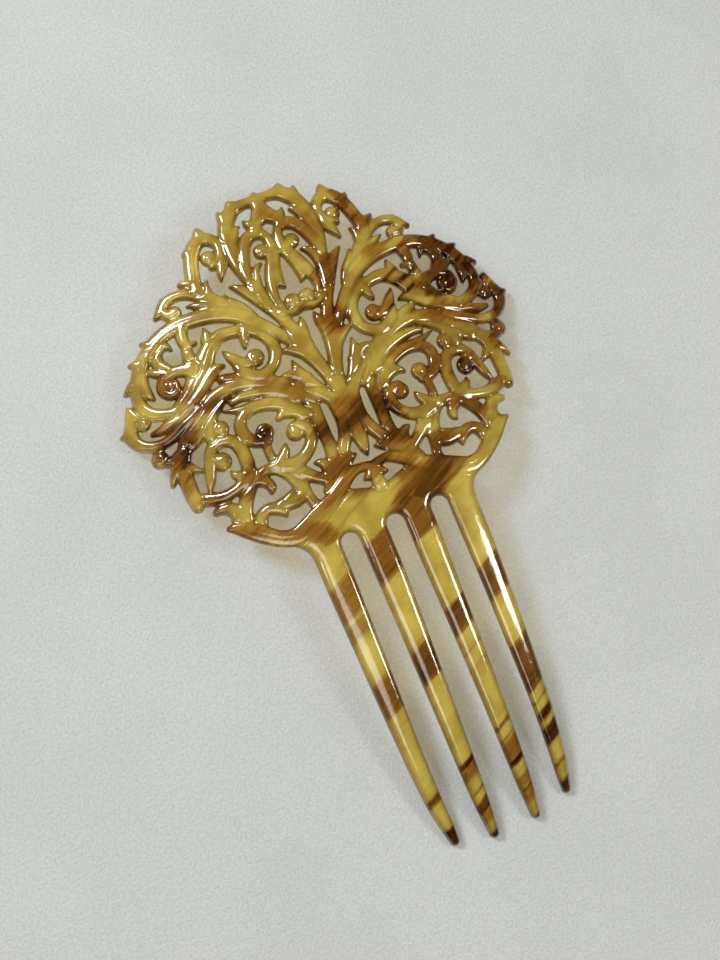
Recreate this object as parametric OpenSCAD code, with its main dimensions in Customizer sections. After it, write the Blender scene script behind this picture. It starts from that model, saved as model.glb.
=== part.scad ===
// Decorative openwork hair comb: four tapered tines, a spine, and a pierced crest of
// acanthus scrolls and volutes.  The whole comb is one bent sheet.  X runs across the comb,
// +Y points from the tines to the crest, and +Z is up, with the convex face on top.

/* [Sheet] */
// Overall length, from the tips of the inner tines to the crest's top peak
comb_length = 190; // [150:1:230]
// Thickness of the sheet
sheet_t = 3.2; // [2:0.1:4.5]
// Radius of the bend across the comb
cross_r = 140; // [130:5:300]
// Radius of the bend along the comb
length_r = 500; // [400:10:900]
// Place along the comb where the bend along its length is level
level_y = 22; // [10:1:30]

/* [Tines] */
// Distance between the middles of neighbouring gaps
gap_pitch = 13.2; // [13:0.1:13.4]
// Radius of a gap's round top
gap_r = 2.5; // [2.2:0.05:2.6]
// Height of the gaps' tops above the middle of the spine
gap_top = -3.5; // [-4.5:0.1:-2.5]
// Height of the line where the tines leave the spine
root_y = -8; // [-9:0.5:-7]

/* [Ornament] */
// Longest straight step along a curved stroke
step = 1.9; // [1:0.1:2.5]

/* [Hidden] */

// The flat pattern is drawn for a comb of this length
pattern_length = 190;
unit = comb_length / pattern_length;
// The pattern's points that may touch the ground: an outer tine's tip and the crest's widest point
rest_points = [[17.7, -92.4], [59.4, 44.8]];
// Height of the underside's highest point, with the lowest of those points at zero
apex_z = max([for (p = rest_points) cross_r - height_above_axis(p * unit)]);
// Half the angle that the sheet spans round the bend across the comb
span = 30;
// How far the drawing reaches past the comb on each side
reach = 110 * unit;
// Hairline gaps between the steps of a stroke are closed by this much
weld = 0.02;
ball_fn = 18;
end_fn = 8;

amber = [0.69, 0.6, 0.23];
honey = [0.62, 0.5, 0.18];
brown = [0.4, 0.25, 0.1];

// Each stroke is a centre line of [x, y, half width] points on the flat pattern, and a
// list with one point is a round ball.  The strokes show the right half of the crest.

// Arch over the spine, running out to the crest's lowest tips
base_band = [
    [[0, 10.7, 0.9], [2.5, 11.2, 0.95], [5, 11.1, 1.1], [7.5, 10.1, 1.4], [10.3, 8.2, 1.6],
        [13.5, 6.2, 1.8], [17, 4.4, 2.2], [21, 2.4, 2.4], [25.5, 0.9, 2.2], [29.5, 1.8, 1.9],
        [33.5, 4.5, 2], [37, 7.3, 1.8], [39.8, 9.2, 1.1], [41.6, 9.8, 0.6]]
];
// Small fan under the arch
clasp = [
    [[0, 9.9, 0.8], [0, 8, 1.4], [0, 5.2, 1.8]],
    [[0.8, 9.6, 0.9], [2.2, 8.3, 0.8], [3.3, 8, 0.4]]
];
// Spear and stems that fan out from the middle
fan = [
    [[0, 13.5, 0.2], [0, 16, 1.1], [0, 19.5, 1.85], [0, 23, 1.7], [0, 28, 2], [0, 35, 2]],
    [[0.5, 28, 1.8], [2.5, 31, 1.8], [4.8, 33.4, 1.3], [7, 35.4, 0.8], [9.2, 37, 0.3]],
    [[3, 32, 1.6], [2.8, 27.5, 1.4], [3, 24, 1.3], [3.9, 20.5, 1.5], [5.6, 17.3, 1.5]]
];
// Two-lobed bud in the middle hole
bud = [
    [[2.1, 60.8, 2]],
    [[0, 58.7, 1.1], [2.3, 57.9, 0.9], [4.5, 58, 0.8], [6.2, 58.8, 1]]
];
// Top finial and its rim
crown = [
    [[0, 92.4, 1.4], [2.2, 92.5, 1.2], [4.4, 92.5, 1.3], [6.8, 92.1, 1.7], [8.9, 90.6, 2],
        [10.6, 88.3, 2], [11.9, 85.4, 1.8]],
    [[0, 93, 1.3], [0, 94.8, 0.2]],
    [[7.1, 92.8, 1.7], [7.7, 94.6, 0.4]],
    [[10.4, 90, 1.7], [11.3, 92.4, 0.5]],
    [[0, 91.6, 1.9], [0, 89.5, 2.05], [0.9, 87.5, 2.2], [2.6, 85.7, 1.7], [3.4, 84.2, 1.6]],
    [[3.6, 84.9, 1.4], [5, 86.2, 0.9], [5.9, 87.8, 0.2]]
];
crown_scroll = [
    [[1.3, 76, 1.3], [1.35, 78.5, 1.3], [1.7, 80.8, 1.2], [2.9, 82.5, 1.3], [5, 83, 1.6],
        [7.1, 82, 1.6], [8.7, 79.8, 1.5], [9.8, 76.8, 1.4], [10.6, 73.5, 1.2], [11, 71, 1]],
    [[4.5, 77.4, 1.9]],
    [[1.8, 76.6, 1.2], [3.6, 76.6, 1.2]]
];
drop_leaf = [
    [[1.2, 76, 1.2], [2.6, 73.8, 1.7], [3.9, 71, 1.8], [5, 68.3, 1.7], [5.9, 65.6, 1.2],
        [6, 62.6, 0.9], [5.5, 60, 0.9], [5, 58, 0.6]],
    [[1.5, 74.2, 0.9], [2.5, 71, 1], [3.3, 68.4, 1.3], [3.1, 66.6, 0.9], [2.2, 65.2, 0.3]]
];
crown_leaf = [
    [[11.9, 86, 1.5], [12.4, 82, 1.5], [12.4, 78.5, 1.6], [12, 75, 1.5], [11.2, 71.5, 1.3],
        [10, 67.5, 1.4]],
    [[7.4, 86.6, 0.3], [8.9, 85.8, 0.9], [10.4, 83.6, 1.1], [11.4, 80.8, 1.2], [11.8, 77.5, 1.2]],
    [[5.9, 74.2, 0.3], [7.4, 73.5, 0.8], [8.6, 71.6, 1], [9.2, 69, 1.1], [9.3, 66, 1.3],
        [8.8, 62.5, 1.4]]
];
// Main stem that rises from the fan
trunk = [
    [[0.8, 35, 1.5], [2, 41, 1.5], [3.3, 46, 1.9], [4.2, 50, 2.3], [5.3, 54, 1.6], [6.8, 58, 1.5],
        [8.8, 62, 1.7], [11, 65.6, 1.6], [13.4, 68.7, 1.2], [15.3, 70.5, 0.7], [16.7, 71.3, 0.2]],
    [[2.9, 50, 1.2], [2.4, 53.5, 1], [2, 55.8, 0.3]],
    [[1.5, 38, 1.3], [2.8, 42, 1.5], [4.8, 45.6, 1.4], [7.2, 47.6, 1.1], [9.4, 48.6, 0.7]]
];
shoulder_scroll = [
    [[18.6, 78.6, 0.9], [16.5, 79.5, 1.1], [15.2, 81.3, 1.2], [14.9, 83.8, 1.3], [16.2, 86.1, 1.5],
        [18.6, 87.2, 1.8], [21, 86, 1.9], [23, 83.3, 1.8], [24, 80.3, 1.8], [24.8, 77, 1.8],
        [25, 74, 1.6]],
    [[18.6, 88, 1.8], [18.6, 90.3, 0.6]],
    [[23.2, 84.3, 1.5], [24.5, 85.9, 0.5]],
    [[26, 76.4, 1.2], [28.7, 77.4, 0.6]],
    [[18.6, 81.2, 1.9]],
    [[14.9, 80.2, 0.9], [16.2, 77.6, 1.3], [17.3, 75.3, 0.8], [17.8, 73.6, 0.3]]
];
// Large scroll over the crest's side
upper_scroll = [
    [[5.2, 48, 1.4], [8, 52, 1.3], [11, 56.2, 1.4], [14.4, 59.8, 1.6], [19, 63.4, 1.7],
        [24, 65.6, 1.8], [29, 66.7, 1.9], [34, 66.9, 1.9], [39, 66, 1.8], [43, 64, 1.8],
        [46.5, 61.2, 1.7], [49, 57.8, 1.7], [50.6, 54, 1.6], [50.8, 50.5, 1.6],
        [49.3, 47.6, 1.6], [46.5, 45.9, 1.4], [43, 45, 1.2]],
    [[42.5, 65, 1.4], [44.5, 66.4, 0.5]],
    [[47.5, 61.4, 1.4], [49.6, 62.2, 0.5]],
    [[51, 56.5, 1.4], [53.4, 55.4, 0.6]],
    [[44, 63, 1.2], [46.2, 60, 1.1], [47.7, 56.5, 1.2], [48, 53.5, 1.3], [46.9, 50.8, 0.5]],
    [[32.5, 66, 1.3], [33.6, 63.5, 1.5], [33.6, 61.5, 1.3], [32.6, 60.4, 0.8], [31, 60.4, 0.6]]
];
shoulder_leaf = [
    [[13, 58.7, 1.2], [15.5, 62, 1.5], [19, 66.3, 1.6], [22.5, 70, 1.7], [26, 73.3, 1.6],
        [30, 74.8, 1.2], [33.6, 74.6, 1.3], [35.8, 72.8, 1.4], [34.8, 70.6, 1.2], [32.8, 70.6, 1.6]],
    [[34.2, 74.2, 1.2], [35.2, 75.8, 0.3]],
    [[36, 72.6, 1.4], [38.2, 71.4, 0.6]],
    [[21.3, 75.5, 0.3], [22.3, 74, 0.8], [22.4, 71.5, 1.1], [21.5, 69, 1.3], [19.5, 66, 1.5]],
    [[13.6, 60.6, 1], [15.5, 64, 1.3], [17.7, 67.2, 0.9], [18.6, 69.7, 0.3]],
    [[17, 62.5, 1.4], [21, 66, 1.3], [25, 68.9, 1.1], [28, 70.4, 0.6], [29.2, 70.8, 0.3]]
];
upper_volute = [
    [[34.5, 54, 2], [37.5, 55, 1.5], [40.5, 55.4, 1.3], [43, 54.2, 1.3], [43.8, 51.8, 1.2],
        [42.3, 49.8, 1.1], [40.3, 50.2, 1], [40, 52, 1]],
    [[41.5, 52, 1.7]],
    [[37.4, 61.2, 0.3], [38.6, 63, 0.9], [40.8, 62.8, 1.3], [42.2, 61, 1.6], [41.8, 58.5, 1.5],
        [40, 56.3, 1.2]],
    [[42, 56, 1], [44.3, 57.4, 0.9], [46, 58.6, 0.3]]
];
flower_leaf = [
    [[20, 59, 1.3], [24.3, 59.4, 1.7], [28, 57.4, 2], [31.2, 54, 2.6], [34.6, 50.5, 2.6],
        [37.8, 47.6, 2], [41.5, 45.6, 1.6], [45, 44.8, 1]],
    [[27.5, 59.5, 1.8], [27.3, 63, 0.4]],
    [[33.8, 60, 1.2], [34, 57.5, 1.5], [34.5, 54.5, 2]],
    [[26.3, 51.3, 0.5], [28.5, 51.4, 1.1], [31.5, 49.6, 1.5], [35, 47, 1.5], [39, 44.9, 1.3],
        [44, 43.1, 1.2], [48, 42, 1], [50.8, 42, 0.6]]
];
middle_scroll = [
    [[20.5, 59, 1.4], [17.3, 58.3, 1.5], [14, 56, 1.5], [12.2, 53, 1.5], [12, 49.8, 1.6],
        [13.3, 46.9, 1.5], [16, 45.1, 1.4], [19, 45.3, 1.3], [22, 47.5, 1.3], [23.8, 50, 0.5]],
    [[18, 58, 1.2], [18.3, 56, 1.1], [18.9, 54.3, 0.7], [19.2, 53.4, 0.3]],
    [[17.6, 50, 2.2]],
    [[18.6, 48.8, 1.2], [21.6, 50, 1.5], [23.6, 52.6, 1.1], [25, 55, 0.3]]
];
// Leaf at the crest's widest point, with the ball inside it
side_leaf = [
    [[54.5, 51.8, 0.3], [54.1, 49.6, 1.4], [55.2, 46.8, 1.6], [56.3, 44.2, 1.8], [55.3, 41.3, 1.5],
        [52.8, 39.2, 1.3], [49, 38.4, 1.2], [45, 39.3, 1.2], [41, 41.3, 1.2], [37, 43.6, 1]],
    [[56.5, 44.5, 1.6], [58.9, 44.8, 0.5]],
    [[52, 45.9, 1.9]],
    [[50.6, 48.6, 1.2], [52.6, 48.4, 1.4], [54, 49.4, 1.2]]
];
side_stem = [
    [[45.2, 33.3, 1.9], [46.7, 30, 1.9], [47, 26, 1.9], [47, 22, 1.8], [46.9, 18.8, 1.4]],
    [[47.5, 31.5, 1.5], [45, 29.3, 1.3], [42.6, 27.4, 0.6]],
    [[47.5, 31.5, 1.5], [49.5, 29, 1.1], [51, 26.7, 0.6]],
    [[51.4, 34.8, 2.2]],
    [[45.5, 34, 1.4], [48.5, 33, 1.2], [50.5, 33.5, 1.2]]
];
lower_scroll = [
    [[5.5, 31, 1.4], [8, 34.5, 1.8], [12, 38.8, 1.8], [17, 42.2, 1.8], [22, 44.3, 1.7],
        [27, 45, 1.6], [31.5, 44.4, 1.7], [35.5, 42.5, 1.8], [39, 39.9, 1.9], [42.5, 36.8, 1.9],
        [45.2, 33.3, 1.9]],
    [[13, 40.5, 1.2], [18, 43.8, 1.2], [23, 46.3, 1.1], [27, 47.8, 1.1], [28.6, 48, 0.8]],
    [[11, 35, 1.6], [15, 38.5, 1.4], [20, 40.6, 1.3], [25, 41.4, 1], [28.2, 41, 0.7]],
    [[4.5, 34, 1.6], [6.6, 38, 1.6], [8.3, 41.5, 1.4], [8.8, 45.4, 0.3]],
    [[7, 39.5, 1.5], [10, 41.6, 1.2], [12.6, 42, 0.7], [13.8, 41.9, 0.3]],
    [[10.8, 39, 1.3]]
];
inner_curl = [
    [[28, 44, 1], [31, 42.3, 1.2], [34, 40.3, 1.5], [36.3, 37.6, 1.8], [36.8, 34.8, 1.5]],
    [[33.5, 35.7, 2]],
    [[37.6, 37.4, 1], [39.8, 35.6, 1.1], [42.3, 33.8, 0.6]]
];
low_scroll = [
    [[23, 28, 1.2], [25.8, 28.4, 1.3], [27.9, 30.7, 1.5], [28.5, 33.5, 1.5], [27.4, 35.9, 1.4],
        [24.5, 37, 1.2], [21, 36.9, 1.2], [17.5, 35.7, 1.3], [14.3, 33.6, 1.6], [11.8, 30.7, 1.8]],
    [[23, 30.1, 2.2]],
    [[23.6, 28, 1], [24, 25.6, 1], [24, 23, 1]],
    [[13.5, 34.5, 1.6], [17.5, 37, 1.2], [22, 38, 0.9], [27, 38.4, 0.8], [31, 39.6, 0.3]],
    [[11, 30, 1.4], [13.8, 32, 1.3], [16.5, 32.7, 1.1], [18.3, 32.1, 0.7], [18.9, 31.3, 0.3]]
];
low_volute = [
    [[15.5, 28.2, 1.4], [13, 28, 1.3], [11.9, 25.6, 1.3], [12.8, 22.6, 1.4], [15.4, 20.2, 1.5],
        [18.6, 19.2, 1.6], [22, 19.8, 1.5]],
    [[15.6, 26.9, 2.1]],
    [[19.2, 25.1, 0.3], [20, 23.3, 1], [21.5, 21.7, 1.3], [24, 20.8, 1.3]]
];
// Straight stem beside the fan, with its curls
stalk = [
    [[8.6, 36, 1.2], [8.5, 32, 1.6], [8.4, 28, 1.5], [8.4, 24, 1.5], [8.4, 20, 1.5],
        [8.9, 16.5, 1.6], [10.2, 13.4, 1.8], [12, 10.5, 1.8]],
    [[5.6, 17.3, 1.5], [8.2, 14.3, 1.7], [10.8, 11.2, 1.9], [13, 8.8, 1.5]],
    [[2.9, 15.3, 0.4], [5, 14.9, 1.2], [7.5, 13.7, 1.5]],
    [[13.7, 17.1, 0.5], [12.2, 16.5, 1], [11.3, 14.8, 1.3], [11.5, 12, 1.6]],
    [[12.8, 11.8, 1.2], [15.3, 13.7, 1.4], [17.8, 16, 1.7], [20.5, 18.8, 1.5]]
];
side_volute = [
    [[30.4, 24, 1.7], [30.4, 27.5, 1.6], [31.4, 30.6, 1.5], [33.5, 32.3, 1.5], [36.3, 32.4, 1.5],
        [38.6, 30.7, 1.3], [39.8, 27.7, 1.3], [40.9, 24.5, 1.2], [42, 21.9, 0.7], [42.5, 20.4, 0.3]],
    [[36.4, 27.3, 2.3]],
    [[37.5, 28.5, 1.2], [38.8, 29.5, 1.2]],
    [[30.4, 24, 1.7], [31, 21.8, 1.6], [33.2, 19.9, 1.5], [36, 18.8, 1.3], [39.5, 18.4, 1.4],
        [43, 19.2, 1.6], [46, 20.3, 1.5]],
    [[33, 21.5, 1.3], [34.6, 22.6, 0.9], [35, 23.8, 0.4]],
    [[28, 31, 1.4], [30.2, 29.3, 1.4]]
];
base_scroll = [
    [[18, 6.5, 1.2], [18.8, 10, 1.2], [19.7, 13.5, 1.8], [21, 17, 1.8], [23.7, 19.7, 1.5],
        [27, 20.4, 1.3], [30.5, 19.2, 1.5], [33.5, 16.4, 1.7], [35.6, 12.8, 1.7], [36.8, 9, 1.8]],
    [[29.5, 18.5, 1.2], [27.6, 17.3, 1.3], [27, 15.5, 1], [27.6, 14.1, 0.4]],
    [[20, 11, 1.5], [22.2, 10, 1.7], [24.5, 10.7, 2.1], [26.3, 10.3, 1.7], [28.5, 10, 1.5],
        [31, 10, 1.6], [33, 8.3, 1.6], [33.4, 5.5, 1.5]],
    [[27.3, 9, 1.1], [27.7, 7.3, 0.8], [28.1, 5.7, 0.3]],
    [[36, 11, 1.6], [38.3, 13.8, 1.7], [40.6, 15.5, 1.4], [43, 15.3, 0.8]],
    [[38, 9.5, 1.2], [39, 12, 1]]
];

// Tines, from the root to the tip
inner_tine = [
    [6.6, -8, 4.05], [6.5, -16, 4.05], [6.5, -30, 3.7], [6.6, -46, 3.2], [6.6, -60, 2.8],
    [6.6, -70, 2.5], [6.5, -80, 2], [6.3, -88, 1.4], [6.1, -94.4, 0.8]
];
outer_tine = [
    [19.8, -8, 4.15], [19.8, -16, 4.1], [19.7, -30, 3.75], [19.5, -46, 3.3], [19.3, -60, 2.85],
    [19, -70, 2.5], [18.4, -80, 2], [17.6, -87, 1.4], [16.9, -91.8, 0.8]
];
// Right half of the spine's edge, from the middle of its top to the outer tine's root
spine_edge = [
    [0, 5.4], [3, 5.7], [6, 6.7], [9, 7.2], [13, 5.5], [20, 2.4], [26.5, -0.5], [27.6, -1.3],
    [25.7, -2.8], [24.4, -5], [23.95, -8]
];

// The crest's pieces, foremost first: each one is cut away where those before it lie
CREST = [
    base_band, clasp, fan, bud, crown, crown_scroll, drop_leaf, crown_leaf, trunk,
    shoulder_scroll, upper_scroll, shoulder_leaf, upper_volute, flower_leaf, middle_scroll,
    side_leaf, side_stem, lower_scroll, inner_curl, low_scroll, low_volute, stalk,
    side_volute, base_scroll
];

// Height of the underside over the axis of the bend across the comb, above the point p
function height_above_axis(p) =
    let (r = cross_r - length_r + sqrt(pow(length_r, 2) - pow(p[1] - level_y, 2)))
    sqrt(pow(r, 2) - pow(p[0], 2));

// A point of a list, or one carried on in line past either end
function at(p, i) =
    i < 0 ? 2 * p[0] - p[1] :
    i >= len(p) ? 2 * p[len(p) - 1] - p[len(p) - 2] : p[i];

// Smooth curve between b and c, with a and d as their outer neighbours
function blend(a, b, c, d, t) =
    (2 * b + (c - a) * t + (2 * a - 5 * b + 4 * c - d) * t * t
        + (3 * b - a - 3 * c + d) * t * t * t) / 2;

// Smooth line through the points p, in steps no longer than s
function smooth(p, s) = [
    for (i = [0 : len(p) - 2])
        let (n = max(1, ceil(norm(p[i + 1] - p[i]) / s)))
        for (k = [0 : n - 1])
            blend(at(p, i - 1), p[i], p[i + 1], at(p, i + 2), k / n),
    p[len(p) - 1]
];

// Point on one side (+1 or -1) of the centre line c at its point i
function edge(c, i, side) =
    let (d = at(c, i + 1) - at(c, i - 1), n = [-d[1], d[0]] / norm([d[0], d[1]]))
    [c[i][0], c[i][1]] + side * n * c[i][2];

module ball(p, facets) {
    translate([p[0], p[1]]) circle(r = p[2], $fn = facets);
}

// One stroke of the ornament, with round ends
module stroke(p) {
    if (len(p) == 1) {
        ball(p[0], ball_fn);
    } else {
        c = smooth(p, step);
        for (i = [0 : len(c) - 2])
            polygon([edge(c, i, 1), edge(c, i + 1, 1), edge(c, i + 1, -1), edge(c, i, -1)]);
        ball(c[0], end_fn);
        ball(c[len(c) - 1], end_fn);
    }
}

// Flat outline of a piece's right half
module outline(strokes) {
    offset(delta = -weld) offset(delta = weld)
        for (s = strokes) stroke(s);
}

module right_side() {
    translate([0, -reach]) square(2 * reach);
}

// Flat shape of the crest's piece number i, without what lies under the pieces before it
module crest_shape(i) {
    offset(delta = 0) intersection() {
        difference() {
            outline(CREST[i]);
            for (j = [0 : 1 : i - 1]) outline(CREST[j]);
        }
        right_side();
    }
}

// Both halves of a piece that lies across the middle
module whole_shape(i) {
    offset(delta = 0) for (side = [0, 1]) mirror([side, 0]) difference() {
        outline(CREST[i]);
        for (j = [0 : 1 : i - 1]) outline(CREST[j]);
    }
}

// The space between the comb's underside and its face, bent both ways
module bent_zone() {
    translate([0, level_y, apex_z - cross_r]) rotate([90, 0, 0])
        rotate_extrude(angle = 2 * span, start = 90 - span, $fn = 360)
            intersection() {
                translate([cross_r - length_r, 0]) difference() {
                    circle(r = length_r + sheet_t, $fn = 720);
                    circle(r = length_r, $fn = 720);
                }
                translate([cross_r / 2, -1.5 * reach]) square([cross_r, 3 * reach]);
            }
}

// Bends a flat shape into the comb's sheet
module sheet() {
    intersection() {
        translate([0, 0, -1]) linear_extrude(height = apex_z + sheet_t + 2)
            scale(unit) children();
        bent_zone();
    }
}

module tine(p) {
    c = smooth(p, 6);
    n = len(c) - 1;
    sheet() offset(delta = 0) {
        polygon([
            for (i = [0 : n]) edge(c, i, 1),
            for (i = [n : -1 : 0]) edge(c, i, -1)
        ]);
        ball(c[n], ball_fn);
    }
}

module gap(x) {
    translate([x, gap_top - gap_r]) circle(r = gap_r, $fn = 48);
    translate([x - gap_r, root_y - 1]) square([2 * gap_r, gap_top - gap_r - root_y + 1]);
}

module spine() color(amber) sheet()
    offset(delta = 0) difference() {
        for (side = [0, 1]) mirror([side, 0])
            polygon(concat(smooth(spine_edge, 2.5), [[0, root_y]]));
        for (x = [-1, 0, 1]) gap(x * gap_pitch);
        for (side = [0, 1]) mirror([side, 0])
            for (j = [0, 1]) outline(CREST[j]);
    }
module tine_outer_right() color(amber) tine(outer_tine);
module tine_inner_right() color(brown) tine(inner_tine);
module tine_inner_left() mirror([1, 0, 0]) tine_inner_right();
module tine_outer_left() mirror([1, 0, 0]) tine_outer_right();

module base_band() color(honey) sheet() whole_shape(0);
module clasp() color(amber) sheet() whole_shape(1);
module centre_fan() color(amber) sheet() whole_shape(2);
module centre_bud() color(honey) sheet() whole_shape(3);
module crown() color(amber) sheet() whole_shape(4);

module crown_scroll_right() color(honey) sheet() crest_shape(5);
module drop_leaf_right() color(amber) sheet() crest_shape(6);
module crown_leaf_right() color(brown) sheet() crest_shape(7);
module trunk_right() color(amber) sheet() crest_shape(8);
module shoulder_scroll_right() color(honey) sheet() crest_shape(9);
module upper_scroll_right() color(brown) sheet() crest_shape(10);
module shoulder_leaf_right() color(amber) sheet() crest_shape(11);
module upper_volute_right() color(brown) sheet() crest_shape(12);
module flower_leaf_right() color(honey) sheet() crest_shape(13);
module middle_scroll_right() color(amber) sheet() crest_shape(14);
module side_leaf_right() color(brown) sheet() crest_shape(15);
module side_stem_right() color(honey) sheet() crest_shape(16);
module lower_scroll_right() color(amber) sheet() crest_shape(17);
module inner_curl_right() color(honey) sheet() crest_shape(18);
module low_scroll_right() color(brown) sheet() crest_shape(19);
module low_volute_right() color(honey) sheet() crest_shape(20);
module stalk_right() color(brown) sheet() crest_shape(21);
module side_volute_right() color(amber) sheet() crest_shape(22);
module base_scroll_right() color(honey) sheet() crest_shape(23);

module crown_scroll_left() mirror([1, 0, 0]) crown_scroll_right();
module drop_leaf_left() mirror([1, 0, 0]) drop_leaf_right();
module crown_leaf_left() mirror([1, 0, 0]) crown_leaf_right();
module trunk_left() mirror([1, 0, 0]) trunk_right();
module shoulder_scroll_left() mirror([1, 0, 0]) shoulder_scroll_right();
module upper_scroll_left() mirror([1, 0, 0]) upper_scroll_right();
module shoulder_leaf_left() mirror([1, 0, 0]) shoulder_leaf_right();
module upper_volute_left() mirror([1, 0, 0]) upper_volute_right();
module flower_leaf_left() mirror([1, 0, 0]) flower_leaf_right();
module middle_scroll_left() mirror([1, 0, 0]) middle_scroll_right();
module side_leaf_left() mirror([1, 0, 0]) side_leaf_right();
module side_stem_left() mirror([1, 0, 0]) side_stem_right();
module lower_scroll_left() mirror([1, 0, 0]) lower_scroll_right();
module inner_curl_left() mirror([1, 0, 0]) inner_curl_right();
module low_scroll_left() mirror([1, 0, 0]) low_scroll_right();
module low_volute_left() mirror([1, 0, 0]) low_volute_right();
module stalk_left() mirror([1, 0, 0]) stalk_right();
module side_volute_left() mirror([1, 0, 0]) side_volute_right();
module base_scroll_left() mirror([1, 0, 0]) base_scroll_right();

spine();
tine_outer_left();
tine_inner_left();
tine_inner_right();
tine_outer_right();
base_band();
clasp();
centre_fan();
centre_bud();
crown();
crown_scroll_left();
crown_scroll_right();
drop_leaf_left();
drop_leaf_right();
crown_leaf_left();
crown_leaf_right();
trunk_left();
trunk_right();
shoulder_scroll_left();
shoulder_scroll_right();
upper_scroll_left();
upper_scroll_right();
shoulder_leaf_left();
shoulder_leaf_right();
upper_volute_left();
upper_volute_right();
flower_leaf_left();
flower_leaf_right();
middle_scroll_left();
middle_scroll_right();
side_leaf_left();
side_leaf_right();
side_stem_left();
side_stem_right();
lower_scroll_left();
lower_scroll_right();
inner_curl_left();
inner_curl_right();
low_scroll_left();
low_scroll_right();
low_volute_left();
low_volute_right();
stalk_left();
stalk_right();
side_volute_left();
side_volute_right();
base_scroll_left();
base_scroll_right();
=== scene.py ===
"""Looks of the decorative hair comb: one carved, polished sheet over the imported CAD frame.

The flat pattern is in millimetres: x runs across the comb, y from the tines to the crest, and
h is the height above the sheet's underside.  A height field is carved from strokes, meshed,
and bent onto the same surface as the CAD sheet.
"""

import math

import bpy
import numpy as np
from mathutils import Matrix, Vector


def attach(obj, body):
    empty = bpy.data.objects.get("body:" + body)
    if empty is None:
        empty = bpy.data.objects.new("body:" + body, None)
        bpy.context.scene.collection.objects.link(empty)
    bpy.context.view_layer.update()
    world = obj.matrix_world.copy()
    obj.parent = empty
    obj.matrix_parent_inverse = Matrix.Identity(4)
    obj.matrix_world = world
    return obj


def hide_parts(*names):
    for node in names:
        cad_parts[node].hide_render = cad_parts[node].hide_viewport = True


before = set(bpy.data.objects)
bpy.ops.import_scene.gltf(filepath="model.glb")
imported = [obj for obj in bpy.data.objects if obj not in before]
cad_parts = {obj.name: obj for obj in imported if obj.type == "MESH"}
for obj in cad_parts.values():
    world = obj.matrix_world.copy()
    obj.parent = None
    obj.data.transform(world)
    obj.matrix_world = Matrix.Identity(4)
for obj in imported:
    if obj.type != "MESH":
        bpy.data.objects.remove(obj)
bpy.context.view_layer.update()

# ---------------------------------------------------------------- dimensions, millimetres
MM = 0.001
SHEET_T = 3.2
# Radii of the bend across the comb and of the bend along it, which is level at LEVEL_Y
CROSS_R = 140.0
LENGTH_R = 500.0
LEVEL_Y = 22.0
# Places of the pattern that touch the floor: an outer tip, and the side of the crest
REST_POINTS = [(17.7, -92.4), (59.4, 44.8)]
# The gaps between the tines: spacing, end radius and upper end
GAP_PITCH = 13.2
GAP_R = 2.5
GAP_TOP = -3.5
TINE_START_Y = -3.5

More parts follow.
